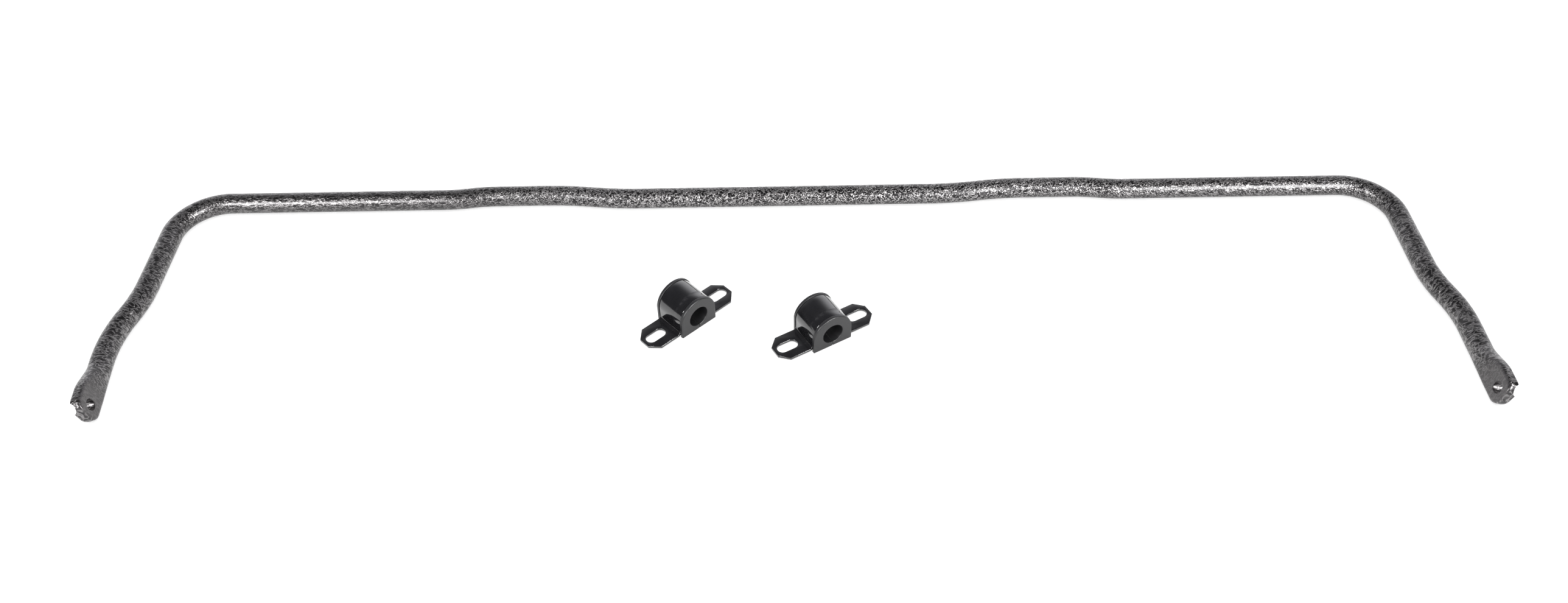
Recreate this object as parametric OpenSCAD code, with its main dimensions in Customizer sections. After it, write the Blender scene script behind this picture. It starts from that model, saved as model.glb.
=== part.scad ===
// Anti-roll (sway) bar kit: one bent round bar, and two chassis mounts that lie in front of it.
// Each chassis mount is a split D-shaped bushing under a stamped saddle bracket.
// Millimetres. +Z is up, the floor is Z = 0, and the arms of the bar point to -Y.
// The origin is on the floor, under the middle of the whole kit.

/* [Bar] */
// Diameter of the round bar
bar_d = 19.05; // [15:0.05:26]
// Distance between the two arms at the corners, centre to centre
bar_span = 1136; // [900:1:1500]
// Bend radius of the corners, at the middle of the bar
corner_r = 44; // [34:1:70]
// Length of the middle stretch
mid_len = 272; // [150:1:420]
// How far the middle stretch is set forward of the outer ones
mid_set = 2.5; // [1:0.1:8]
// Length of each bend pair beside the middle stretch
mid_jog_len = 92; // [60:1:110]
// Length of each raised stretch beside the middle one
hump_len = 44; // [20:1:80]
// How far the raised stretches are set back of the outer ones
hump_set = 3.9; // [1:0.1:8]
// Length of each bend pair between a raised stretch and an outer one
hump_jog_len = 52; // [35:1:70]

/* [Arms] */
// Length of the left arm, from the crossbar's centre line to the link hole
left_arm_len = 252.1; // [247:0.1:340]
// Length of the right arm, from the crossbar's centre line to the link hole
right_arm_len = 258.5; // [242:0.1:340]
// Distance from the crossbar's centre line to the start of the arm's outward jog
jog_start = 109; // [90:1:115]
// Length of the jog along the arm
jog_len = 75; // [50:1:78]
// How far the jog moves the left arm outwards
left_jog_out = 10; // [4:0.1:16]
// How far the jog moves the right arm outwards
right_jog_out = 11.9; // [4:0.1:16]
// Angle that the left arm turns back in after the jog
left_toe_in = 6.8; // [0.5:0.1:9]
// Angle that the right arm turns back in after the jog
right_toe_in = 1.4; // [0.5:0.1:9]

/* [Link eyes] */
// Width of the forged eye
eye_w = 26; // [17:0.1:28]
// Thickness of the forged eye
eye_t = 10; // [9:0.1:16]
// Rounding of the eye's long edges
eye_round = 3.1; // [1:0.1:4]
// Length of the flare from the round bar to the full eye
flare_len = 30.5; // [25:0.5:38]
// Length of the full eye before the link hole's centre
eye_lead = 11.8; // [6.5:0.1:13]
// Distance from the link hole's centre to the tip of the bar
tip_len = 10.1; // [9.5:0.1:24]
// Corner radius of the tip
tip_r = 8.4; // [4:0.1:9]
// Diameter of the link hole
link_hole_d = 10; // [8:0.1:12]
// Metal left under the half-round groove that runs from the link hole to the tip's upper corner
web_t = 5; // [3:0.1:8]
// Radius of that groove, which lies in the eye's outer face
groove_r = 4.8; // [4:0.1:5]
// Angle of that groove from upright, towards the tip
groove_turn = 45; // [30:1:60]
// Lean of the eye's flat from upright
eye_lean = 16.6; // [5:0.1:40]
// How far the eye stands outwards of the arm's centre line
eye_out = 0; // [0:0.1:3]

/* [Bushings] */
// Clearance all round between the bar and the bushing's bore
bore_clear = 0.08; // [0.02:0.01:0.1]
// Wall of the bushing under the bore
base_wall = 4.7; // [3:0.1:8]
// Wall of the bushing round the top of the bore
top_wall = 5.9; // [4:0.1:8]
// Length of the bushing from lip face to lip face
bushing_len = 34; // [25:0.5:44]
// Thickness of the lip at each end
lip_t = 3; // [2:0.1:5]
// How far a lip stands proud of the bracket
lip_proud = 0.5; // [0.3:0.1:2]
// Width of the cut that lets the bushing open over the bar
split_w = 0.8; // [0.5:0.1:2]

/* [Brackets] */
// Sheet thickness of the bracket
strap_t = 2.5; // [1.5:0.1:3.5]
// Gap between the bracket and the bushing
strap_gap = 0.3; // [0.3:0.05:0.6]
// Height of the feet above the floor while the bushing isn't squeezed
foot_lift = 1; // [0.3:0.1:1.5]
// Inside radius of the bend between a leg and its foot
foot_bend_r = 3; // [1:0.1:5]
// Width of the end edge of a foot, between its two chamfers
foot_edge = 11; // [6:0.5:14]
// Metal between a foot's bend and its bolt slot
slot_clear = 4.2; // [2:0.1:10]
// Width of a bolt slot
slot_w = 10; // [8:0.1:12]
// Length of a bolt slot
slot_len = 19; // [15:0.5:24]
// Metal between a bolt slot and the end of the foot
slot_end = 3.1; // [2.5:0.1:8]

/* [Places on the floor] */
// Left chassis mount, distance to the left of the kit's middle
left_x = 88; // [60:1:200]
// Left chassis mount, distance in front of the crossbar
left_y = 151; // [90:1:200]
// Left chassis mount, angle from the crossbar's direction to its bore
left_turn = 47.5; // [0:0.5:80]
// Right chassis mount, distance to the right of the kit's middle
right_x = 29.5; // [28:0.5:200]
// Right chassis mount, distance in front of the crossbar
right_y = 172; // [90:1:200]
// Right chassis mount, angle from the crossbar's direction to its bore
right_turn = 60; // [0:0.5:80]

/* [Hidden] */
$fn = 96;
hull_fn = 32;           // facets of a round end inside a hull
slice = 0.1;            // thickness of a hull's end slices
cut = 1;                // how far a cutter runs past its work
lap = 1;                // how far a straight runs on inside the bend next to it
swell = 0.05;           // how much fatter than the bar a bend is, all round
inset = 0.15;           // how far the ends of the flare lie inside what they join
jog_mid = 4;            // straight between the two bends of a jog

bar_r = bar_d / 2;
// The bar's place, with the kit centred over the origin
bar_x = (left_jog_out - right_jog_out) / 2;
bar_y = (max(left_arm_len, right_arm_len) + tip_len - bar_r - hump_set) / 2;
outer_len = bar_span / 2 - corner_r - mid_len / 2 - mid_jog_len - hump_len - hump_jog_len;
flat_len = eye_lead + tip_len;

// Lowest point of the leaning eye below its own middle, and the lift that sets it on the floor
eye_drop = (eye_w / 2 - eye_round) * cos(eye_lean)
         + (eye_t / 2 - eye_round) * sin(eye_lean) + eye_round;
eye_up = eye_drop - bar_r;

bore_r = bar_r + bore_clear;
bore_h = bore_r + base_wall;
bushing_r = bore_r + top_wall;
strap_in = bushing_r + strap_gap;
strap_out = strap_in + strap_t;
lip_r = strap_out + lip_proud;
strap_w = bushing_len - 2 * lip_t - 2 * strap_gap;
leg_h = bore_h - foot_lift - strap_t - foot_bend_r;
foot_start = strap_out + foot_bend_r;
slot_x = foot_start + slot_clear + slot_len / 2;
foot_tip = slot_x + slot_len / 2 + slot_end;
foot_corner = (strap_w - foot_edge) / 2;

// Round straight between an arm's jog and the flare of its eye
function shank_len(len, out, toe) =
    (len - jog_start - jog_len - jog_radius(jog_len, out) * sin(toe)) / cos(toe)
    - flare_len - eye_lead;

// A jog is a bend, a short straight and an opposite bend: the angle and radius of its bends
function jog_angle(run, step) = 2 * atan(step / (run + jog_mid));
function jog_radius(run, step) =
    (run - jog_mid * cos(jog_angle(run, step))) / (2 * sin(jog_angle(run, abs(step))));

// Straight stretch of bar along +X. What follows starts at its far end.
module straight(len) {
    translate([-lap, 0, 0]) rotate([0, 90, 0]) cylinder(r = bar_r, h = len + 2 * lap);
    translate([len, 0, 0]) children();
}

// Bend of the bar with radius r, to the left through angle a, or to the right where a is negative
module bend(r, a) {
    side = sign(a);
    translate([0, side * r, 0]) {
        rotate([0, 0, side > 0 ? -90 : 90 + a])
            rotate_extrude(angle = abs(a)) translate([r, 0]) circle(r = bar_r + swell);
        rotate([0, 0, a]) translate([0, -side * r, 0]) children();
    }
}

// Step of the bar to the left by `step`, or to the right where it is negative, with `turn` added
module jog(run, step, turn = 0) {
    a = jog_angle(run, step);
    r = jog_radius(run, step);
    bend(r, a) straight(jog_mid) bend(r, turn - a) children();
}

// Cross-section of the eye: thickness t along X, width w along Y, rounded long edges
module eye_section(t, w) {
    square([t, w - 2 * eye_round], center = true);
    square([t - 2 * eye_round, w], center = true);
    for (sx = [-1, 1], sy = [-1, 1])
        translate([sx * (t / 2 - eye_round), sy * (w / 2 - eye_round)]) circle(r = eye_round);
}

// Flattened end of the right arm, along +X from the end of its round shank. +Y is outwards.
module eye() {
    hull() {
        translate([-3 * lap, 0, 0]) rotate([0, 90, 0])
            cylinder(r = bar_r - inset, h = slice, $fn = hull_fn);
        translate([flare_len + lap, eye_out, eye_up]) rotate([-eye_lean, 0, 0]) rotate([90, 0, 90])
            linear_extrude(slice) eye_section(eye_t - 2 * inset, eye_w - 2 * inset, $fn = hull_fn);
    }
    translate([flare_len, eye_out, eye_up]) rotate([-eye_lean, 0, 0]) eye_flat();
}

// The flat of the eye: inner face towards -Y, thickness along Y, width along Z
module eye_flat() {
    difference() {
        rotate([90, 0, 90]) linear_extrude(flat_len) eye_section(eye_t, eye_w);
        tip_corner_cut();
        mirror([0, 0, 1]) tip_corner_cut();
        translate([eye_lead, 0, 0]) {
            rotate([90, 0, 0]) cylinder(d = link_hole_d, h = eye_t + 2 * cut, center = true);
            translate([0, web_t + groove_r - eye_t / 2, 0]) rotate([0, groove_turn, 0])
                cylinder(r = groove_r, h = eye_w);
        }
    }
}

// What is cut away to round the upper corner of the tip
module tip_corner_cut() {
    x = flat_len - tip_r;
    z = eye_w / 2 - tip_r;
    translate([x, 0, z]) rotate([90, 0, 0])
        linear_extrude(eye_t + 2 * cut, center = true) difference() {
            square(tip_r + cut);
            circle(r = tip_r);
        }
}

// Half of the bar to the right of its middle stretch, with its arm's length, jog and toe-in
module half_bar(len, out, toe) {
    translate([mid_len / 2, -mid_set, 0])
        jog(mid_jog_len, mid_set + hump_set) straight(hump_len)
        jog(hump_jog_len, -hump_set) straight(outer_len)
        bend(corner_r, -90) straight(jog_start - corner_r)
        jog(jog_len, out, -toe) straight(shank_len(len, out, toe))
        eye();
}

// One-piece bent steel bar with a forged link eye at the end of each arm
module sway_bar() {
    color([0.42, 0.42, 0.43]) translate([bar_x, bar_y, bar_r]) {
        translate([-mid_len / 2, -mid_set, 0]) straight(mid_len);
        half_bar(right_arm_len, right_jog_out, right_toe_in);
        mirror([1, 0, 0]) half_bar(left_arm_len, left_jog_out, left_toe_in);
    }
}

// D-shaped block of radius r and length len, bore direction along X, standing on Z = 0
module d_block(r, len) {
    translate([-len / 2, -r, 0]) cube([len, 2 * r, bore_h]);
    translate([-len / 2, 0, bore_h]) rotate([90, 0, 90])
        rotate_extrude(angle = 180) square([r, len]);
}

// Split D bushing with a lip at each end, at the origin with its bore along X
module bushing() {
    difference() {
        union() {
            d_block(bushing_r, bushing_len - 2 * lip_t);
            for (s = [-1, 1]) translate([s * (bushing_len - lip_t) / 2, 0, 0]) d_block(lip_r, lip_t);
        }
        translate([0, 0, bore_h]) rotate([0, 90, 0])
            cylinder(r = bore_r, h = bushing_len + 2 * cut, center = true);
        translate([-bushing_len / 2 - cut, -split_w / 2, -cut])
            cube([bushing_len + 2 * cut, split_w, bore_h]);
    }
}

// Outline of one foot, along +Y from the end of its bend, with chamfered corners and a bolt slot
module foot_outline() {
    difference() {
        polygon([[-strap_w / 2, foot_start], [strap_w / 2, foot_start],
                 [strap_w / 2, foot_tip - foot_corner], [foot_edge / 2, foot_tip],
                 [-foot_edge / 2, foot_tip], [-strap_w / 2, foot_tip - foot_corner]]);
        translate([0, slot_x]) {
            square([slot_w, slot_len - slot_w], center = true);
            for (s = [-1, 1]) translate([0, s * (slot_len - slot_w) / 2]) circle(d = slot_w);
        }
    }
}

// Leg, bend and foot on the +Y side of a bracket
module bracket_side() {
    translate([-strap_w / 2, strap_in, bore_h - leg_h]) cube([strap_w, strap_t, leg_h]);
    translate([-strap_w / 2, foot_start, bore_h - leg_h]) rotate([90, 0, 90]) rotate([0, 0, 180])
        rotate_extrude(angle = 90) translate([foot_bend_r, 0]) square([strap_t, strap_w]);
    translate([0, 0, foot_lift]) linear_extrude(strap_t) foot_outline();
}

// Stamped saddle bracket, at the origin over a bushing with its bore along X
module bracket() {
    translate([-strap_w / 2, 0, bore_h]) rotate([90, 0, 90])
        rotate_extrude(angle = 180) translate([strap_in, 0]) square([strap_t, strap_w]);
    bracket_side();
    mirror([0, 1, 0]) bracket_side();
}

// Puts a chassis mount's pieces at their place on the floor
module at_left() { translate([-left_x, bar_y - left_y, 0]) rotate([0, 0, -left_turn]) children(); }
module at_right() { translate([right_x, bar_y - right_y, 0]) rotate([0, 0, -right_turn]) children(); }

module left_bushing() { color([0.17, 0.17, 0.18]) at_left() bushing(); }
module right_bushing() { color([0.17, 0.17, 0.18]) at_right() bushing(); }
module left_bracket() { color([0.05, 0.05, 0.055]) at_left() bracket(); }
module right_bracket() { color([0.05, 0.05, 0.055]) at_right() bracket(); }

sway_bar();
left_bushing();
right_bushing();
left_bracket();
right_bracket();
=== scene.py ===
"""Sway bar kit: one bent, coated steel bar, and two chassis mounts lying in front of it.

Every mount is a split urethane bushing under a stamped and enamelled saddle bracket.
Metres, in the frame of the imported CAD: the crossbar runs along X and its arms point to -Y.
"""

import math
from collections import namedtuple

import bmesh
import bpy
import numpy as np
from mathutils import Matrix, Vector, kdtree, noise


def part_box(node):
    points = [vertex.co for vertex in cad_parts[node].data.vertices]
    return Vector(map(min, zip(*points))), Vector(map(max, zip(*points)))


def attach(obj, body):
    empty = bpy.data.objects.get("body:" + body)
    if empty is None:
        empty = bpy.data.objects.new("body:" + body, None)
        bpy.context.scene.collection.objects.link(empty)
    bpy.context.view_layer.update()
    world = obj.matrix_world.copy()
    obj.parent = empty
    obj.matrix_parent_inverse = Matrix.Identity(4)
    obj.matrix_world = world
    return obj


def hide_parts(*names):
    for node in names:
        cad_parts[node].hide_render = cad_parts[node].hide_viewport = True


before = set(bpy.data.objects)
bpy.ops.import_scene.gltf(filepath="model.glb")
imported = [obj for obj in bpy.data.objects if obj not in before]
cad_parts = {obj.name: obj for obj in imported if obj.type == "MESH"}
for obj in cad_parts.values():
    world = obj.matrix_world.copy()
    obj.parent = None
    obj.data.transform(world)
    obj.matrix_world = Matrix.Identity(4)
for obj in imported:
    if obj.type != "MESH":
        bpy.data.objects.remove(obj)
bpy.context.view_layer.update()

# It leans a little, so the crossbar climbs towards the right.
# ---------------------------------------------------------------------------
MM = 0.001
CAMERA_PLACE = Vector((-3.59, -813.38, 821.83)) * MM
CAMERA_PITCH = math.radians(45.494)
CAMERA_LEAN = math.radians(0.936)
CAMERA_YAW = math.radians(0.037)
CAMERA_LENS = 29.954
CAMERA_SENSOR = 36

scene = bpy.context.scene
camera_data = bpy.data.cameras.new("camera")
camera_data.lens = CAMERA_LENS
camera_data.sensor_width = CAMERA_SENSOR
camera = bpy.data.objects.new("camera", camera_data)
scene.collection.objects.link(camera)
camera.matrix_world = (
    Matrix.Translation(CAMERA_PLACE)
    @ Matrix.Rotation(-CAMERA_YAW, 4, "Z")
    @ Matrix.Rotation(math.pi / 2 - CAMERA_PITCH, 4, "X")
    @ Matrix.Rotation(-CAMERA_LEAN, 4, "Z")
)
scene.camera = camera

# ---------------------------------------------------------------------------
# The floor
# A wide white sheet lit a little from below, as on a light table, so shadows stay faint.
# ---------------------------------------------------------------------------
FLOOR_SIZE = 60
FLOOR_WHITE = (0.55, 0.55, 0.55, 1)
FLOOR_GLOW = 0.78


def feed(tree, socket, value):
    """Links an output into an input socket, or sets the socket's own value."""
    if isinstance(value, bpy.types.NodeSocket):
        tree.links.new(value, socket)
    else:
        socket.default_value = value


def add_node(tree, kind, **values):
    """Adds a node, sets its properties and feeds its inputs, all by name."""
    node = tree.nodes.new(kind)
    for name, value in values.items():
        if name in node.bl_rna.properties:
            setattr(node, name, value)
        else:
            feed(tree, node.inputs[name.replace("_", " ")], value)
    return node


def new_material(name):
    """An empty material with its output node: returns (material, node tree, output)."""
    material = bpy.data.materials.new(name)
    material.use_nodes = True
    tree = material.node_tree
    tree.nodes.clear()
    return material, tree, tree.nodes.new("ShaderNodeOutputMaterial")


def link_object(name, mesh):
    """Adds a mesh or a curve to the scene as an object."""
    piece = bpy.data.objects.new(name, mesh)
    scene.collection.objects.link(piece)
    return piece


sheet, tree, output = new_material("lit_white_sheet")
shade = add_node(tree, "ShaderNodeBsdfDiffuse", Color=FLOOR_WHITE, Roughness=1.0)
glow = add_node(tree, "ShaderNodeEmission", Strength=FLOOR_GLOW)
both = add_node(tree, "ShaderNodeAddShader")
tree.links.new(shade.outputs[0], both.inputs[0])
tree.links.new(glow.outputs[0], both.inputs[1])
tree.links.new(both.outputs[0], output.inputs["Surface"])

floor_mesh = bpy.data.meshes.new("floor")
half = FLOOR_SIZE / 2
floor_mesh.from_pydata(
    [(-half, -half, 0), (half, -half, 0), (half, half, 0), (-half, half, 0)],
    [],
    [(0, 1, 2, 3)],
)
floor_mesh.materials.append(sheet)
floor = link_object("floor", floor_mesh)

# ---------------------------------------------------------------------------
# The light
# Even light from above that keeps the sheet white, two soft boxes low in front that draw
# the bright lines along the bar, and a room with a pale wall behind and a dark ceiling.
# ---------------------------------------------------------------------------
ROOM_DARK = (0.10, 0.10, 0.105, 1)
ROOM_PALE = (1.5, 1.5, 1.55, 1)
WALL_SIDES = (0.15, 0.85)  # how far back a direction points where the wall begins, and is full
WALL_TOP = (0.30, 0.85)  # how far up it points where the wall begins to fade, and has gone
SKYLIGHT = 3.8
SKYLIGHT_SPREAD = math.radians(80)
SOFT_BOXES = (  # power in watts, size, place, and the point it faces: left, then right
    (60, (0.9, 0.38), (-1.25, -1.35, 1.0), (-0.45, 0.12, 0.0)),
    (105, (0.9, 0.80), (1.25, -1.35, 1.0), (0.45, 0.12, 0.0)),
)
MIX_SOCKETS = {"FLOAT": (2, 3, 0), "RGBA": (6, 7, 2)}  # a Mix node's two inputs and its output


def maths(tree, operation, *terms, **settings):
    """A Math node over sockets and numbers: returns its result."""
    node = add_node(tree, "ShaderNodeMath", operation=operation, **settings)
    for socket, term in zip(node.inputs, terms):
        feed(tree, socket, term)
    return node.outputs[0]


def mix(tree, share, first, second, data_type="RGBA"):
    """Mixes two colours or two numbers by a mask: returns the result."""
    node = add_node(tree, "ShaderNodeMix", data_type=data_type)
    first_input, second_input, result = MIX_SOCKETS[data_type]
    feed(tree, node.inputs[0], share)
    feed(tree, node.inputs[first_input], first)
    feed(tree, node.inputs[second_input], second)
    return node.outputs[result]


def map_range(tree, value, **limits):
    """Carries a value from one range to another, held at its ends: returns the result."""
    return add_node(tree, "ShaderNodeMapRange", Value=value, **limits).outputs[0]


world = bpy.data.worlds.new("room")
scene.world = world
world.use_nodes = True
tree = world.node_tree
tree.nodes.clear()
output = tree.nodes.new("ShaderNodeOutputWorld")
direction = add_node(tree, "ShaderNodeTexCoord").outputs["Generated"]
split = add_node(tree, "ShaderNodeSeparateXYZ", Vector=direction)
towards_wall = map_range(
    tree,
    split.outputs["Y"],
    interpolation_type="SMOOTHSTEP",
    From_Min=WALL_SIDES[0],
    From_Max=WALL_SIDES[1],
)
below_top = map_range(
    tree,
    split.outputs["Z"],
    interpolation_type="SMOOTHSTEP",
    From_Min=WALL_TOP[1],
    From_Max=WALL_TOP[0],
)
on_wall = maths(tree, "MULTIPLY", towards_wall, below_top)
room = mix(tree, on_wall, ROOM_DARK, ROOM_PALE)
background = add_node(tree, "ShaderNodeBackground", Color=room)
tree.links.new(background.outputs[0], output.inputs["Surface"])

skylight_data = bpy.data.lights.new("skylight", "SUN")
skylight_data.energy = SKYLIGHT
skylight_data.angle = SKYLIGHT_SPREAD
skylight = bpy.data.objects.new("skylight", skylight_data)
skylight.visible_glossy = False
scene.collection.objects.link(skylight)

for number, (power, size, place, target) in enumerate(SOFT_BOXES):
    box_data = bpy.data.lights.new(f"soft_box_{number}", "AREA")
    box_data.shape = "RECTANGLE"
    box_data.size, box_data.size_y = size
    box_data.energy = power
    box = bpy.data.objects.new(f"soft_box_{number}", box_data)
    box.visible_diffuse = False
    box.location = place
    box.rotation_euler = (Vector(target) - Vector(place)).to_track_quat("-Z", "Y").to_euler()
    scene.collection.objects.link(box)

scene.view_settings.view_transform = "Standard"
scene.view_settings.look = "None"

# ---------------------------------------------------------------------------
# The bar
# One length of round spring steel, bent cold, with each end forged flat and drilled for an
# end link. It wears a thick grey hammered powder coat, coarsest in the middle of the crossbar
# and nearly smooth on the eyes.
# ---------------------------------------------------------------------------
BAR_RADIUS = 9.525 * MM
# The crossbar: its middle stretch is set forward, with a hump set back on each side of it
SPAN = 1136 * MM
CORNER_RADIUS = 44 * MM
MIDDLE_LENGTH = 272 * MM
MIDDLE_SET = 2.5 * MM
MIDDLE_JOG = 92 * MM
HUMP_LENGTH = 44 * MM
HUMP_SET = 3.9 * MM
HUMP_JOG = 52 * MM
JOG_STRAIGHT = 4 * MM  # straight metal between the two bends of a jog
# The arms: each jogs outwards, and turns back in below its jog
ARM_JOG_START = 109 * MM
ARM_JOG = 75 * MM
ARMS = {  # length to the link hole, step outwards, and angle turned back in: left, then right
    -1: (252.1 * MM, 10 * MM, math.radians(6.8)),
    1: (258.5 * MM, 11.9 * MM, math.radians(1.4)),
}
# The eyes: each flares from the round bar to a leaning flat with a rounded tip
FLARE_LENGTH = 30.5 * MM
FLARE_EASE = 0.5  # 0 for a straight taper from the round to the flat, 1 for an S curve
EYE_LEAD = 11.8 * MM  # from the end of the flare to the link hole
EYE_WIDTH = 26 * MM
EYE_THICKNESS = 10 * MM
EYE_ROUND = 3.1 * MM
EYE_LEAN = math.radians(16.6)
LARGEST_ROUND = 0.95  # of half the eye's width
TIP_LENGTH = 10.1 * MM
TIP_CORNER = 8.4 * MM
TIP_EDGE = 1.2 * MM
TIP_EDGE_ON_SIDES = 0.4  # how much of that edge the two narrow sides have
HOLE_RADIUS = 5 * MM
HOLE_EDGE = 0.5 * MM
HOLE_EDGE_MIDDLE = (0.15, 0.4)  # shares of that edge's width and depth halfway round it
WEB = 5 * MM  # metal left under the groove from the hole to the tip's upper corner
GROOVE_RADIUS = 4.8 * MM
GROOVE_TURN = math.radians(45)
# The mesh, and the coat's wrinkles in it
STATION_STEP = 1.15 * MM
EYE_STEP = 0.5 * MM
TIP_EDGE_STEPS = 5
RING_ARC, RING_LONG, RING_SHORT = 6, 14, 6  # steps on a corner, a wide side, a narrow side
RING_POINTS = 4 * RING_ARC + 2 * RING_LONG + 2 * RING_SHORT
WRINKLE_DEPTH = 0.26 * MM
WRINKLE_LENGTH = 4.2 * MM
WRINKLE_WIDTH = 2.3 * MM
FINE_WRINKLE_PACE = 2.1  # how many times finer the small wrinkles are
FINE_WRINKLE_SHARE = 0.45  # and how strong beside the large ones
EYE_SMOOTHNESS = 0.75  # share of the wrinkles that is missing on the eyes

crossbar_x = (ARMS[-1][1] - ARMS[1][1]) / 2
crossbar_y = (max(ARMS[-1][0], ARMS[1][0]) + TIP_LENGTH - BAR_RADIUS - HUMP_SET) / 2
crossbar = np.array((crossbar_x, crossbar_y, BAR_RADIUS))

# A half of the bar is a list of stations from the middle of the crossbar to the tip of the
# arm, all as on the right-hand side. A run is the distance along the bar from its middle.
Station = namedtuple("Station", "x y heading run")


def run_straight(stations, length, step=STATION_STEP):
    """Adds the stations of a straight stretch."""
    x, y, heading, run = stations[-1]
    count = max(1, round(length / step))
    for i in range(1, count + 1):
        along = length * i / count
        new_x, new_y = x + along * math.cos(heading), y + along * math.sin(heading)
        stations.append(Station(new_x, new_y, heading, run + along))


def run_bend(stations, radius, angle):
    """Adds the stations of a bend: a positive angle turns to the left."""
    x, y, heading, run = stations[-1]
    side = math.copysign(1, angle)
    centre_x = x - side * radius * math.sin(heading)
    centre_y = y + side * radius * math.cos(heading)
    count = max(2, round(radius * abs(angle) / STATION_STEP))
    for i in range(1, count + 1):
        turned = heading + angle * i / count
        stations.append(
            Station(
                centre_x + side * radius * math.sin(turned),
                centre_y - side * radius * math.cos(turned),
                turned,
                run + radius * abs(angle) * i / count,
            )
        )


def run_jog(stations, length, step, turn=0.0):
    """Two opposite bends that move the bar `step` to the left, then turn it by `turn`."""
    angle = 2 * math.atan(step / (length + JOG_STRAIGHT))
    radius = (length - JOG_STRAIGHT * math.cos(angle)) / (2 * math.sin(abs(angle)))
    run_bend(stations, radius, angle)
    run_straight(stations, JOG_STRAIGHT)
    run_bend(stations, radius, turn - angle)


def half_of_bar(arm_length, jog_out, toe_in):
    """Stations of one half, and the runs at which its features come."""
    stations = [Station(0.0, -MIDDLE_SET, 0.0, 0.0)]
    marks = {}
    run_straight(stations, MIDDLE_LENGTH / 2)
    run_jog(stations, MIDDLE_JOG, MIDDLE_SET + HUMP_SET)
    run_straight(stations, HUMP_LENGTH)
    run_jog(stations, HUMP_JOG, -HUMP_SET)
    run_straight(stations, SPAN / 2 - CORNER_RADIUS - stations[-1].x)
    marks["corner"] = stations[-1].run
    run_bend(stations, CORNER_RADIUS, -math.pi / 2)
    run_straight(stations, ARM_JOG_START - CORNER_RADIUS)
    run_jog(stations, ARM_JOG, jog_out, -toe_in)
    to_hole = (stations[-1].y + arm_length) / math.cos(toe_in)
    run_straight(stations, to_hole - EYE_LEAD - FLARE_LENGTH)
    marks["flare"] = stations[-1].run
    run_straight(stations, FLARE_LENGTH)
    marks["eye"] = stations[-1].run
    marks["hole"] = marks["eye"] + EYE_LEAD
    run_straight(stations, EYE_LEAD + TIP_LENGTH - TIP_EDGE, EYE_STEP)
    run_straight(stations, TIP_EDGE, TIP_EDGE / TIP_EDGE_STEPS)
    marks["tip"] = stations[-1].run
    return stations, marks


halves, marks = {}, {}
for side in (-1, 1):
    halves[side], marks[side] = half_of_bar(*ARMS[side])


def rounded_side(points, start, end, count):
    for i in range(count):
        points.append(start + (end - start) * i / count)


def rounded_corner(points, centre, radius, angle, count):
    for i in range(count):
        a = angle + math.pi / 2 * i / count
        points.append(centre + radius * np.array((math.cos(a), math.sin(a))))


def eye_ring(inner, outer, half_width, inner_round, outer_round):
    """Section of the eye from the middle of its outer side, anticlockwise: (outwards, up)."""
    inner_round = min(inner_round, half_width * LARGEST_ROUND)
    outer_round = min(outer_round, half_width * LARGEST_ROUND)
    upper_outer = np.array((outer - outer_round, half_width - outer_round))
    upper_inner = np.array((inner + inner_round, half_width - inner_round))
    flip = np.array((1, -1))
    lower_outer, lower_inner = upper_outer * flip, upper_inner * flip
    out, up = np.array((1.0, 0.0)), np.array((0.0, 1.0))
    points = []
    rounded_side(points, np.array((outer, 0)), upper_outer + out * outer_round, RING_LONG // 2)
    rounded_corner(points, upper_outer, outer_round, 0, RING_ARC)
    rounded_side(
        points, upper_outer + up * outer_round, upper_inner + up * inner_round, RING_SHORT
    )
    rounded_corner(points, upper_inner, inner_round, math.pi / 2, RING_ARC)
    rounded_side(
        points, upper_inner - out * inner_round, lower_inner - out * inner_round, RING_LONG
    )
    rounded_corner(points, lower_inner, inner_round, math.pi, RING_ARC)
    rounded_side(
        points, lower_inner - up * inner_round, lower_outer - up * outer_round, RING_SHORT
    )
    rounded_corner(points, lower_outer, outer_round, 1.5 * math.pi, RING_ARC)
    rounded_side(points, lower_outer + out * outer_round, np.array((outer, 0)), RING_LONG // 2)
    return np.array(points)


half_thickness = EYE_THICKNESS / 2
full_eye = eye_ring(-half_thickness, half_thickness, EYE_WIDTH / 2, EYE_ROUND, EYE_ROUND)
ring_angles = np.arange(RING_POINTS) * 2 * math.pi / RING_POINTS
round_ring = BAR_RADIUS * np.stack((np.cos(ring_angles), np.sin(ring_angles)), axis=1)
lean = np.array(
    ((math.cos(EYE_LEAN), -math.sin(EYE_LEAN)), (math.sin(EYE_LEAN), math.cos(EYE_LEAN)))
)
eye_drop = (
    (EYE_WIDTH / 2 - EYE_ROUND) * math.cos(EYE_LEAN)
    + (half_thickness - EYE_ROUND) * math.sin(EYE_LEAN)
    + EYE_ROUND
)
eye_centre = np.array((0.0, eye_drop - BAR_RADIUS))


def smooth(low, high, value):
    """0 up to a low limit, 1 from a high one, and an S curve between them."""
    t = np.clip((value - low) / (high - low), 0.0, 1.0)
    return t * t * (3 - 2 * t)


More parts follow.
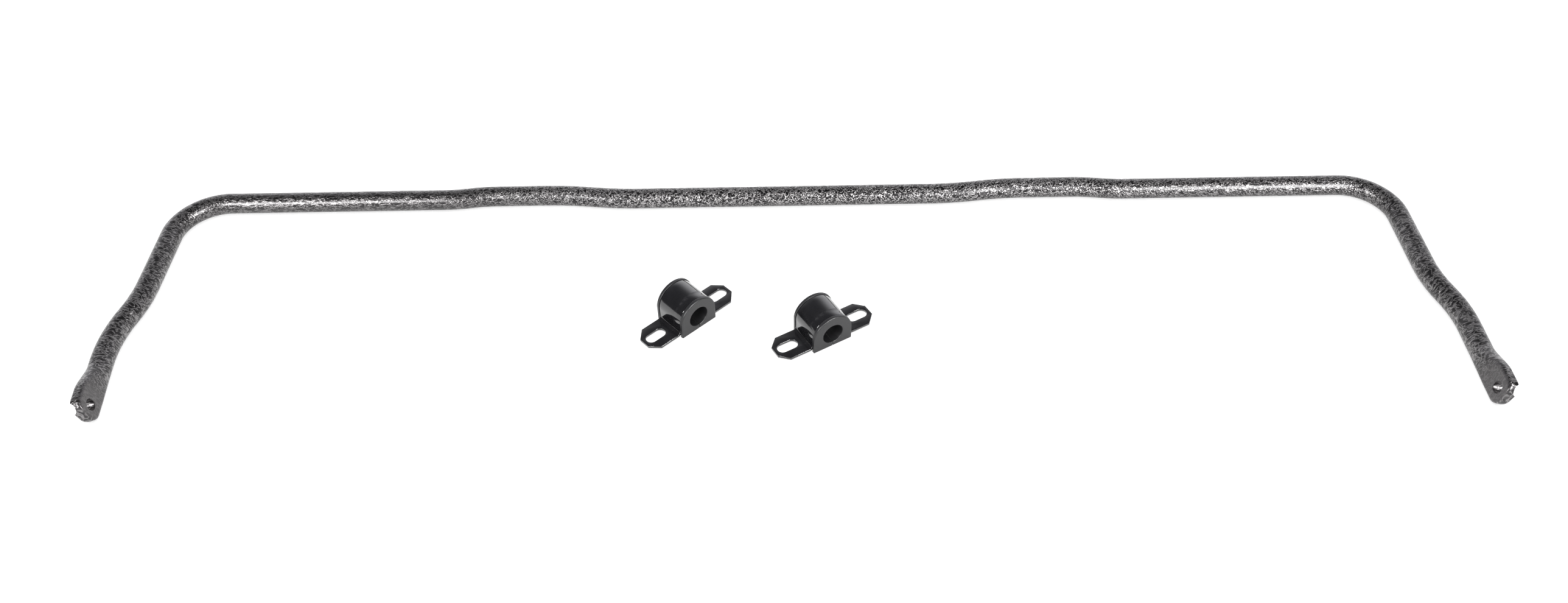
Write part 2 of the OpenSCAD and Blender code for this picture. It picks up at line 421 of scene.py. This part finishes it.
def section_at(side, run):
    """Section of the bar at a distance from its middle: (outwards, up) from the centre line."""
    at = marks[side]
    if run <= at["flare"]:
        return round_ring @ lean
    if run <= at["eye"]:
        share = (run - at["flare"]) / FLARE_LENGTH
        share += FLARE_EASE * (smooth(0, 1, share) - share)
        return (1 - share) * (round_ring @ lean) + share * (full_eye @ lean + eye_centre)
    inner, outer, half_width = -half_thickness, half_thickness, EYE_WIDTH / 2
    into_corner = run - (at["tip"] - TIP_CORNER)
    if into_corner > 0:
        half_width -= TIP_CORNER - math.sqrt(max(0.0, TIP_CORNER**2 - into_corner**2))
    into_edge = run - (at["tip"] - TIP_EDGE)
    if into_edge > 0:
        pulled = TIP_EDGE - math.sqrt(max(0.0, TIP_EDGE**2 - into_edge**2))
        inner, outer = inner + pulled, outer - pulled
        half_width -= TIP_EDGE_ON_SIDES * pulled
    return eye_ring(inner, outer, half_width, EYE_ROUND, EYE_ROUND) @ lean + eye_centre


# Where the coat changes: pairs of a start and an end, of the run for the straights, and of
# the run past the corner's start for the corners and the arms
STRAIGHT_FLOW = (0.20, 0.36)
CORNER_FLOW = (-0.02, 0.05)
ARM_FLOW = (0.0, 0.07)
ALONG_PACE = 0.8  # pace of the coat's noise along the bar, where it is 1 across it
LEFT_STRETCH = 0.4  # taken off that on the left straight, so its wrinkles lie along the bar
RIGHT_SLANT = 0.9  # how much the wrinkles of the right straight slant
ARM_STRETCH = 0.62  # taken off the pace across the arms, so their wrinkles lie across them
STRAIGHT_COARSENESS = {-1: ((0.17, 0.33), 0.45), 1: ((0.17, 0.42), 0.75)}
ARM_COARSENESS = ((-0.03, 0.09), 0.6)


def flow_at(side, run):
    """How the coat's wrinkles lie: (pace of its noise along the bar, pace across, slant)."""
    past_corner = run - marks[side]["corner"]
    on_straight = smooth(*STRAIGHT_FLOW, run) * (1 - smooth(*CORNER_FLOW, past_corner))
    along = ALONG_PACE - LEFT_STRETCH * on_straight * (side < 0)
    across = 1.0 - ARM_STRETCH * smooth(*ARM_FLOW, past_corner)
    return along, across, RIGHT_SLANT * on_straight * (side > 0)


def coarseness_at(side, run):
    """How coarse the coat is: 1 in the middle of the crossbar, least on the left straight."""
    straight_change, straight = STRAIGHT_COARSENESS[side]
    arm_change, arm = ARM_COARSENESS
    past_corner = run - marks[side]["corner"]
    on_arm = smooth(*arm_change, past_corner)
    return 1.0 + (straight - 1.0) * smooth(*straight_change, run) + (arm - straight) * on_arm


# Rows of the whole bar, from the left tip over the middle to the right tip
rows = [(-1, s) for s in reversed(halves[-1])] + [(1, s) for s in halves[1][1:]]
centres = np.array([(side * s.x, s.y, 0.0) for side, s in rows]) + crossbar
outwards = np.array(
    [(-side * math.sin(s.heading), math.cos(s.heading), 0) for side, s in rows]
)
runs = np.array([side * s.run for side, s in rows])
coarse = np.array([coarseness_at(side, s.run) for side, s in rows])
flows = np.array([flow_at(side, s.run) for side, s in rows])
paces = (flows[1:, 0] + flows[:-1, 0]) / 2
flow_runs = np.concatenate(([0.0], np.cumsum(np.diff(runs) * paces)))
up = np.array((0.0, 0.0, 1.0))
bar_points = []
for index, (side, station) in enumerate(rows):
    eye_share = smooth(marks[side]["flare"], marks[side]["eye"], station.run)
    for outward, height in section_at(side, station.run):
        place = Vector(
            (runs[index] / WRINKLE_LENGTH, outward / WRINKLE_WIDTH, height / WRINKLE_WIDTH)
        )
        fine_hill = noise.noise(place * FINE_WRINKLE_PACE)
        hill = noise.noise(place) + FINE_WRINKLE_SHARE * fine_hill
        depth = WRINKLE_DEPTH * coarse[index] * min(1.0, 0.5 + 0.5 * hill)
        depth *= 1 - EYE_SMOOTHNESS * eye_share
        shrink = 1 - depth / BAR_RADIUS
        bar_points.append(
            centres[index] + outwards[index] * outward * shrink + up * height * shrink
        )

bar_faces = []
for row in range(len(rows) - 1):
    for i in range(RING_POINTS):
        j = (i + 1) % RING_POINTS
        a, b = row * RING_POINTS, (row + 1) * RING_POINTS
        bar_faces.append((a + i, b + i, b + j, a + j))
last = (len(rows) - 1) * RING_POINTS
bar_faces.append(tuple(range(RING_POINTS)))
bar_faces.append(tuple(last + i for i in reversed(range(RING_POINTS))))
bar_mesh = bpy.data.meshes.new("sway_bar_coated")
bar_mesh.from_pydata([tuple(p) for p in bar_points], [], bar_faces)
bar = link_object("sway_bar_coated", bar_mesh)

DRILL_STEPS = 48
OVERSHOOT = 6 * MM  # how far a drill starts before the metal and runs past it


def mesh_from(build, name):
    """Turns a bmesh into a mesh whose faces all look outwards, and frees the bmesh."""
    bmesh.ops.recalc_face_normals(build, faces=build.faces)
    mesh = bpy.data.meshes.new(name)
    build.to_mesh(mesh)
    build.free()
    return mesh


def shade_smooth(mesh, sharpest):
    """Shades a mesh smooth, but for the edges that turn by more than an angle."""
    mesh.polygons.foreach_set("use_smooth", [True] * len(mesh.polygons))
    mesh.set_sharp_from_angle(angle=sharpest)


def cut_away(start, axis, sideways, profile):
    """Cuts a turned shape out of the bar: (radius, distance along the axis) from its start."""
    third = np.cross(axis, sideways)
    tool = bmesh.new()
    grid = []
    for radius, depth in profile:
        grid.append(
            [
                tool.verts.new(
                    start + axis * depth + radius * (sideways * math.cos(a) + third * math.sin(a))
                )
                for a in (2 * math.pi * i / DRILL_STEPS for i in range(DRILL_STEPS))
            ]
        )
    for lower, higher in zip(grid, grid[1:]):
        for i in range(DRILL_STEPS):
            j = (i + 1) % DRILL_STEPS
            tool.faces.new((lower[i], lower[j], higher[j], higher[i]))
    tool.faces.new(reversed(grid[0]))
    tool.faces.new(grid[-1])
    cutter = link_object("tool", mesh_from(tool, "tool"))
    cut = bar.modifiers.new("cut", "BOOLEAN")
    cut.operation = "DIFFERENCE"
    cut.solver = "EXACT"
    cut.object = cutter
    cut_mesh = bpy.data.meshes.new_from_object(
        bar.evaluated_get(bpy.context.evaluated_depsgraph_get())
    )
    bar.modifiers.clear()
    bar.data = cut_mesh
    bpy.data.objects.remove(cutter)


# The link holes are drilled through the eyes, with the mouth on the inner face eased. A
# half-round groove runs from each one over the outer face to the upper corner of the tip.
for side in (-1, 1):
    hole_run = marks[side]["hole"]
    x, y, heading, _ = min(halves[side], key=lambda station: abs(station.run - hole_run))
    out = np.array((-side * math.sin(heading), math.cos(heading), 0.0))
    along = np.array((side * math.cos(heading), math.sin(heading), 0.0))
    axis = out * math.cos(EYE_LEAN) - up * math.sin(EYE_LEAN)
    across = out * math.sin(EYE_LEAN) + up * math.cos(EYE_LEAN)
    middle = crossbar + (side * x, y, 0.0) + out * eye_centre[0] + up * eye_centre[1]
    inner_face = middle - axis * half_thickness
    cut_away(
        inner_face,
        axis,
        along,
        [
            (HOLE_RADIUS + HOLE_EDGE, -OVERSHOOT),
            (HOLE_RADIUS + HOLE_EDGE, 0),
            (HOLE_RADIUS + HOLE_EDGE_MIDDLE[0] * HOLE_EDGE, HOLE_EDGE_MIDDLE[1] * HOLE_EDGE),
            (HOLE_RADIUS, HOLE_EDGE),
            (HOLE_RADIUS, EYE_THICKNESS + OVERSHOOT),
        ],
    )
    cut_away(
        inner_face + axis * (WEB + GROOVE_RADIUS),
        along * math.sin(GROOVE_TURN) + across * math.cos(GROOVE_TURN),
        axis,
        [(GROOVE_RADIUS, 0), (GROOVE_RADIUS, EYE_WIDTH)],
    )

# Where each point lies along, across and above the centre line, for the coat's grain, and how
# coarse the coat is there. The eyes' inner faces are the smoothest.
INNER_FACE = (0.6, 0.95)  # share of half the thickness where it begins, and is full
INNER_FACE_SMOOTHNESS = 0.8

line = kdtree.KDTree(len(rows))
for index, centre in enumerate(centres):
    line.insert(centre, index)
line.balance()
coat_places = np.zeros((len(bar.data.vertices), 3), np.float32)
coat_coarse = np.zeros(len(bar.data.vertices), np.float32)
for vertex in bar.data.vertices:
    index = line.find(vertex.co)[1]
    away = np.array(vertex.co) - centres[index]
    along = np.cross(outwards[index], up)
    flow_along, flow_across, slant = flows[index]
    coat_places[vertex.index] = (
        flow_runs[index] + (away @ along) * flow_along + slant * away[2],
        (away @ outwards[index]) * flow_across,
        away[2] * flow_across,
    )
    at = marks[rows[index][0]]
    eye_share = smooth(at["flare"], at["eye"], abs(runs[index]))
    across = (away[:2] @ outwards[index][:2] - eye_centre[0], away[2] - eye_centre[1])
    through = across[0] * math.cos(EYE_LEAN) - across[1] * math.sin(EYE_LEAN)
    on_inner_face = smooth(*INNER_FACE, -through / half_thickness) * eye_share
    smoothness = INNER_FACE_SMOOTHNESS * on_inner_face
    coat_coarse[vertex.index] = coarse[index] * (1 - smoothness)
bar.data.attributes.new("coat_place", "FLOAT_VECTOR", "POINT").data.foreach_set(
    "vector", coat_places.ravel()
)
bar.data.attributes.new("coat_coarseness", "FLOAT", "POINT").data.foreach_set(
    "value", coat_coarse
)
shade_smooth(bar.data, sharpest=math.radians(40))


def new_group(name, inputs, outputs):
    """An empty node group: returns (group, its input node, its output node)."""
    group = bpy.data.node_groups.new(name, "ShaderNodeTree")
    for socket, kind, value in inputs:
        made = group.interface.new_socket(socket, in_out="INPUT", socket_type=kind)
        if value is not None:
            made.default_value = value
    for socket, kind in outputs:
        group.interface.new_socket(socket, in_out="OUTPUT", socket_type=kind)
    return group, group.nodes.new("NodeGroupInput"), group.nodes.new("NodeGroupOutput")


# Grain: fine bumps and a slow cloudiness, each as fine as its value says, per metre
grain_group, given, made = new_group(
    "grain",
    [
        ("Place", "NodeSocketVector", None),
        ("Fineness", "NodeSocketFloat", 1000.0),
        ("Cloud Fineness", "NodeSocketFloat", 40.0),
    ],
    [("Bumps", "NodeSocketFloat"), ("Cloud", "NodeSocketFloat")],
)
bumps = add_node(
    grain_group,
    "ShaderNodeTexNoise",
    Vector=given.outputs["Place"],
    Scale=given.outputs["Fineness"],
    Detail=3.0,
    Roughness=0.6,
)
cloud = add_node(
    grain_group,
    "ShaderNodeTexNoise",
    Vector=given.outputs["Place"],
    Scale=given.outputs["Cloud Fineness"],
    Detail=4.0,
    Roughness=0.55,
)
grain_group.links.new(bumps.outputs["Fac"], made.inputs["Bumps"])
grain_group.links.new(cloud.outputs["Fac"], made.inputs["Cloud"])

COAT_DARK = (0.017, 0.016, 0.017, 1)
COAT_MIDDLE = (0.070, 0.066, 0.067, 1)
COAT_LIGHT = (0.36, 0.35, 0.35, 1)
COAT_CELL = 2.0 * MM
COAT_DEPTH = 0.22 * MM
RIDGE_REACH = 0.115  # how far from its middle value the noise still makes a ridge
GRAIN_ON_RIDGES = 0.3  # height of the fine grain beside the ridges'

coat, tree, output = new_material("hammered_powder_coat")
place = add_node(tree, "ShaderNodeAttribute", attribute_name="coat_place").outputs["Vector"]
coarseness = add_node(
    tree, "ShaderNodeAttribute", attribute_name="coat_coarseness"
).outputs["Fac"]
wrinkle = add_node(
    tree,
    "ShaderNodeTexNoise",
    Vector=place,
    Scale=1 / COAT_CELL,
    Detail=1.5,
    Roughness=0.4,
    Distortion=0.8,
)
# Pale winding ridges stand where the noise passes its middle value
off_middle = maths(tree, "ABSOLUTE", maths(tree, "SUBTRACT", wrinkle.outputs["Fac"], 0.5))
ridges = map_range(tree, off_middle, From_Min=RIDGE_REACH, From_Max=0.0)
grain = add_node(
    tree,
    "ShaderNodeGroup",
    node_tree=grain_group,
    Place=place,
    Fineness=1900,
    Cloud_Fineness=26,
)

contrast = mix(tree, coarseness, 0.5, ridges, "FLOAT")
colours = add_node(tree, "ShaderNodeValToRGB", Fac=contrast)
ramp = colours.color_ramp
ramp.elements[0].position, ramp.elements[0].color = 0.15, COAT_DARK
ramp.elements[1].position, ramp.elements[1].color = 0.95, COAT_LIGHT
ramp.elements.new(0.50).color = COAT_MIDDLE

height = maths(tree, "MULTIPLY_ADD", grain.outputs["Bumps"], GRAIN_ON_RIDGES, ridges)
strength = map_range(tree, coarseness, To_Min=0.25, To_Max=1.0)
raised = add_node(
    tree, "ShaderNodeBump", Strength=strength, Distance=COAT_DEPTH, Height=height
)
gloss = map_range(tree, grain.outputs["Cloud"], To_Min=0.24, To_Max=0.42)
shade = add_node(
    tree,
    "ShaderNodeBsdfPrincipled",
    Base_Color=colours.outputs[0],
    Metallic=0.85,
    Roughness=gloss,
    Normal=raised.outputs[0],
    Coat_Weight=0.3,
    Coat_Roughness=0.24,
)
tree.links.new(shade.outputs[0], output.inputs["Surface"])
bar.data.materials.clear()
bar.data.materials.append(coat)

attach(bar, "bar")
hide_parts("sway_bar")

# ---------------------------------------------------------------------------
# The bushings
# Each is a D-shaped block moulded in dark polyurethane, bored for the bar and slit through
# its base, so that it can be opened and pushed over the bar. A lip at each end keeps the
# saddle bracket from sliding off it.
# ---------------------------------------------------------------------------
BORE_CLEARANCE = 0.08 * MM
BASE_WALL = 4.7 * MM
TOP_WALL = 5.9 * MM
LIP_STEP = 3.285 * MM  # how far a lip stands out from the body
LIP_THICKNESS = 3 * MM
BUSHING_LENGTH = 34 * MM
SLIT_WIDTH = 0.8 * MM
LIP_EDGE = 0.8 * MM
LIP_BACK_EDGE = 0.35 * MM
BORE_EDGE = 0.5 * MM
BASE_EDGE = 0.5 * MM
ARCH_STEPS, SIDE_STEPS, BASE_STEPS = 72, 10, 14
EDGE_STEPS = 5
FACE_RINGS = 6

bore_radius = BAR_RADIUS + BORE_CLEARANCE
bore_height = bore_radius + BASE_WALL
body_radius = bore_radius + TOP_WALL
lip_radius = body_radius + LIP_STEP


def block_outline(radius, pulled):
    """D outline of the block from one side of the slit round to the other: (across, up)."""
    radius, low = radius - pulled, pulled
    corner = BASE_EDGE
    points = [
        (SLIT_WIDTH / 2 + (radius - corner - SLIT_WIDTH / 2) * i / BASE_STEPS, low)
        for i in range(BASE_STEPS)
    ]
    for i in range(EDGE_STEPS):
        a = math.pi / 2 * i / EDGE_STEPS
        points.append(
            (radius - corner + corner * math.sin(a), low + corner - corner * math.cos(a))
        )
    points += [
        (radius, low + corner + (bore_height - low - corner) * i / SIDE_STEPS)
        for i in range(SIDE_STEPS)
    ]
    points += [
        (radius * math.cos(a), bore_height + radius * math.sin(a))
        for a in (math.pi / 2 * i / (ARCH_STEPS // 2) for i in range(ARCH_STEPS // 2))
    ]
    return points + [(0.0, bore_height + radius)] + [(-y, z) for y, z in reversed(points)]


def bore_outline(radius):
    """The bore from one side of the slit to the other, with as many points as the block."""
    slit = math.asin(SLIT_WIDTH / 2 / radius)
    count = 2 * (BASE_STEPS + EDGE_STEPS + SIDE_STEPS + ARCH_STEPS // 2) + 1
    angles = [
        -math.pi / 2 + slit + (2 * math.pi - 2 * slit) * i / (count - 1) for i in range(count)
    ]
    return [(radius * math.cos(a), bore_height + radius * math.sin(a)) for a in angles]


# Loops of one half, from the middle of its outside over the lip and the end face to the bore
half_length = BUSHING_LENGTH / 2
lip_back = half_length - LIP_THICKNESS
half_loops = [(0.0, block_outline(body_radius, 0)), (lip_back, block_outline(body_radius, 0))]
for i in range(EDGE_STEPS + 1):
    a = math.pi / 2 * i / EDGE_STEPS
    half_loops.append(
        (
            lip_back + LIP_BACK_EDGE * (1 - math.cos(a)),
            block_outline(lip_radius, LIP_BACK_EDGE * (1 - math.sin(a))),
        )
    )
for i in range(EDGE_STEPS + 1):
    a = math.pi / 2 * i / EDGE_STEPS
    half_loops.append(
        (
            half_length - LIP_EDGE * (1 - math.sin(a)),
            block_outline(lip_radius, LIP_EDGE * (1 - math.cos(a))),
        )
    )
face_outer = np.array(half_loops[-1][1])
face_inner = np.array(bore_outline(bore_radius + BORE_EDGE))
for i in range(1, FACE_RINGS):
    share = i / FACE_RINGS
    half_loops.append((half_length, face_outer * (1 - share) + face_inner * share))
for i in range(EDGE_STEPS + 1):
    a = math.pi / 2 * i / EDGE_STEPS
    half_loops.append(
        (
            half_length - BORE_EDGE * (1 - math.cos(a)),
            bore_outline(bore_radius + BORE_EDGE * (1 - math.sin(a))),
        )
    )
loops = half_loops + [(0.0, bore_outline(bore_radius))]
loops += [(-x, outline) for x, outline in reversed(half_loops[1:])]


def bushing_mesh(name):
    """The whole bushing along X: its loops joined, and the two walls of its slit closed."""
    build = bmesh.new()
    grid = [[build.verts.new((x, y, z)) for y, z in outline] for x, outline in loops]
    for near, far in zip(grid, grid[1:] + grid[:1]):
        for i in range(len(near) - 1):
            build.faces.new((near[i], near[i + 1], far[i + 1], far[i]))
    build.faces.new([loop[0] for loop in grid])
    build.faces.new([loop[-1] for loop in reversed(grid)])
    mesh = mesh_from(build, name)
    shade_smooth(mesh, sharpest=math.radians(50))
    return mesh


# Edge wear: rubbed patches where a curved edge stands out, broken up by noise
wear_group, given, made = new_group(
    "edge_wear",
    [
        ("Place", "NodeSocketVector", None),
        ("Patch Fineness", "NodeSocketFloat", 300.0),
        ("Amount", "NodeSocketFloat", 0.5),
    ],
    [("Rubbed", "NodeSocketFloat")],
)
form = add_node(wear_group, "ShaderNodeNewGeometry")
edges = map_range(wear_group, form.outputs["Pointiness"], From_Min=0.58, From_Max=0.72)
patches = add_node(
    wear_group,
    "ShaderNodeTexNoise",
    Vector=given.outputs["Place"],
    Scale=given.outputs["Patch Fineness"],
    Detail=5.0,
    Roughness=0.65,
)
kept = map_range(wear_group, patches.outputs["Fac"], From_Min=0.42, From_Max=0.62)
rubbed = maths(wear_group, "MULTIPLY", edges, kept)
amount = maths(wear_group, "MULTIPLY", rubbed, given.outputs["Amount"], use_clamp=True)
wear_group.links.new(amount, made.inputs["Rubbed"])


def mount_finish(name, clean, dusty, rubbed_to, grain_values, wear_values, roughness, bump):
    """A grained finish, cloudy and rubbed pale on its edges: returns (material, shader)."""
    material, tree, output = new_material(name)
    place = add_node(tree, "ShaderNodeTexCoord").outputs["Object"]
    grain = add_node(
        tree, "ShaderNodeGroup", node_tree=grain_group, Place=place, **grain_values
    )
    wear = add_node(tree, "ShaderNodeGroup", node_tree=wear_group, Place=place, **wear_values)
    clouded = mix(tree, grain.outputs["Cloud"], clean, dusty)
    colour = mix(tree, wear.outputs["Rubbed"], clouded, rubbed_to)
    gloss = map_range(tree, grain.outputs["Cloud"], To_Min=roughness[0], To_Max=roughness[1])
    raised = add_node(tree, "ShaderNodeBump", Height=grain.outputs["Bumps"], **bump)
    shade = add_node(
        tree,
        "ShaderNodeBsdfPrincipled",
        Base_Color=colour,
        Roughness=gloss,
        Normal=raised.outputs[0],
    )
    tree.links.new(shade.outputs[0], output.inputs["Surface"])
    return material, shade


urethane, _ = mount_finish(
    "moulded_urethane",
    clean=(0.012, 0.012, 0.0135, 1),
    dusty=(0.020, 0.020, 0.022, 1),
    rubbed_to=(0.10, 0.10, 0.105, 1),
    grain_values={"Fineness": 2200, "Cloud_Fineness": 160},
    wear_values={"Patch_Fineness": 500, "Amount": 0.5},
    roughness=(0.34, 0.46),
    bump={"Strength": 0.25, "Distance": 0.06 * MM},
)

# Each mount lies where its CAD bracket does, turned on the floor
MOUNT_TURNS = {"left": math.radians(-47.5), "right": math.radians(-60)}


def mount_place(side):
    """Matrix that carries a mount built about the origin, along X, to its place."""
    low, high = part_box(f"{side}_bracket")
    middle = (low + high) / 2
    return Matrix.Translation((middle.x, middle.y, 0)) @ Matrix.Rotation(
        MOUNT_TURNS[side], 4, "Z"
    )


for side in ("left", "right"):
    bushing = link_object(f"{side}_bushing_moulded", bushing_mesh(f"{side}_bushing"))
    bushing.data.materials.append(urethane)
    bushing.matrix_world = mount_place(side)
    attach(bushing, "chassis_mounts")
    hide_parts(f"{side}_bushing")

# ---------------------------------------------------------------------------
# The saddle brackets
# Each is a flat steel blank, punched with its two bolt slots, folded over a former into an
# arch with two feet, and dipped in gloss black enamel that runs thin on its edges.
# ---------------------------------------------------------------------------
STRAP_THICKNESS = 2.5 * MM
STRAP_GAP = 0.3 * MM  # between the strap and the bushing's body and lips
FOOT_LIFT = 1 * MM  # how high a foot stands before the bolts squeeze the bushing
FOOT_BEND = 3 * MM
FOOT_CORNER = 8.2 * MM
SLOT_LENGTH = 19 * MM
SLOT_WIDTH = 10 * MM
SLOT_CLEAR = 4.2 * MM  # from the foot's bend to its slot
SLOT_END = 3.1 * MM  # from the slot to the foot's tip
PUNCHED_EDGE = 0.4 * MM
SLOT_STEPS = 16
FOLD_STEP = 1.0 * MM
WELD = 0.001 * MM  # points nearer than this are one

strap_width = BUSHING_LENGTH - 2 * (LIP_THICKNESS + STRAP_GAP)
arch_middle = body_radius + STRAP_GAP + STRAP_THICKNESS / 2  # radius at the sheet's middle
leg_length = bore_height - FOOT_LIFT - STRAP_THICKNESS - FOOT_BEND
# Distances over the folded sheet from the top of the arch, to the end of each stretch
arch_run = arch_middle * math.pi / 2
leg_run = arch_run + leg_length
bend_middle = FOOT_BEND + STRAP_THICKNESS / 2
bend_run = leg_run + bend_middle * math.pi / 2
blank_run = bend_run + SLOT_CLEAR + SLOT_LENGTH + SLOT_END
bend_centre = (arch_middle + bend_middle, bore_height - leg_length)


def fold(along, across, through):
    """Where a point of the flat blank lands once the bracket is folded."""
    side = math.copysign(1, along)
    run = abs(along)
    if run <= arch_run:
        a = run / arch_middle
        out = (arch_middle + through) * math.sin(a)
        height = bore_height + (arch_middle + through) * math.cos(a)
    elif run <= leg_run:
        out, height = arch_middle + through, bore_height - (run - arch_run)
    else:
        a = min((run - leg_run) / bend_middle, math.pi / 2)
        past = max(0.0, run - bend_run)
        out = bend_centre[0] - (bend_middle - through) * math.cos(a) + past
        height = bend_centre[1] - (bend_middle - through) * math.sin(a)
    return across, side * out, height


def closed_line(curve, points):
    """Adds one closed outline to a flat curve."""
    line = curve.splines.new("POLY")
    line.points.add(len(points) - 1)
    for point, (x, y) in zip(line.points, points):
        point.co = (x, y, 0, 1)
    line.use_cyclic_u = True


# The blank: its outline and its two slots, with rounded edges, in the XY plane
half_width = strap_width / 2
corner_run = blank_run - FOOT_CORNER
half_tip = half_width - FOOT_CORNER
blank = bpy.data.curves.new("bracket_blank", "CURVE")
blank.dimensions = "2D"
blank.fill_mode = "BOTH"
blank.extrude = STRAP_THICKNESS / 2 - PUNCHED_EDGE
blank.bevel_depth = PUNCHED_EDGE
blank.bevel_resolution = 3
blank.offset = -PUNCHED_EDGE
closed_line(
    blank,
    [
        (-blank_run, -half_tip),
        (-corner_run, -half_width),
        (corner_run, -half_width),
        (blank_run, -half_tip),
        (blank_run, half_tip),
        (corner_run, half_width),
        (-corner_run, half_width),
        (-blank_run, half_tip),
    ],
)
slot_middle = blank_run - SLOT_END - SLOT_LENGTH / 2
slot_end = (SLOT_LENGTH - SLOT_WIDTH) / 2
for side in (-1, 1):
    line = []
    for end, first in ((1, -math.pi / 2), (-1, math.pi / 2)):
        for i in range(SLOT_STEPS + 1):
            a = first + math.pi * i / SLOT_STEPS
            line.append(
                (
                    side * slot_middle + end * slot_end + SLOT_WIDTH / 2 * math.cos(a),
                    SLOT_WIDTH / 2 * math.sin(a),
                )
            )
    closed_line(blank, line)
blank_object = link_object("bracket_blank", blank)
flat = bpy.data.meshes.new_from_object(
    blank_object.evaluated_get(bpy.context.evaluated_depsgraph_get())
)
bpy.data.objects.remove(blank_object)

# Cut across wherever it bends, then folded
build = bmesh.new()
build.from_mesh(flat)
bmesh.ops.remove_doubles(build, verts=build.verts, dist=WELD)
cuts = np.arange(-bend_run, bend_run + FOLD_STEP / 2, FOLD_STEP)
for position in cuts:
    bmesh.ops.bisect_plane(
        build,
        geom=build.verts[:] + build.edges[:] + build.faces[:],
        plane_co=(position, 0, 0),
        plane_no=(1, 0, 0),
    )
for vertex in build.verts:
    vertex.co = fold(*vertex.co)
bracket_mesh = mesh_from(build, "bracket")
shade_smooth(bracket_mesh, sharpest=math.radians(35))

enamel, shade = mount_finish(
    "gloss_black_enamel",
    clean=(0.0045, 0.0045, 0.0055, 1),
    dusty=(0.016, 0.016, 0.018, 1),
    rubbed_to=(0.10, 0.10, 0.105, 1),
    grain_values={"Fineness": 420, "Cloud_Fineness": 90},
    wear_values={"Patch_Fineness": 260, "Amount": 0.2},
    roughness=(0.07, 0.16),
    bump={"Strength": 0.1, "Distance": 0.04 * MM},
)
shade.inputs["Coat Weight"].default_value = 0.7
shade.inputs["Coat Roughness"].default_value = 0.05
bracket_mesh.materials.clear()
bracket_mesh.materials.append(enamel)

for side in ("left", "right"):
    bracket = link_object(f"{side}_bracket_enamelled", bracket_mesh.copy())
    bracket.matrix_world = mount_place(side)
    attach(bracket, f"{side}_saddle")
    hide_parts(f"{side}_bracket")
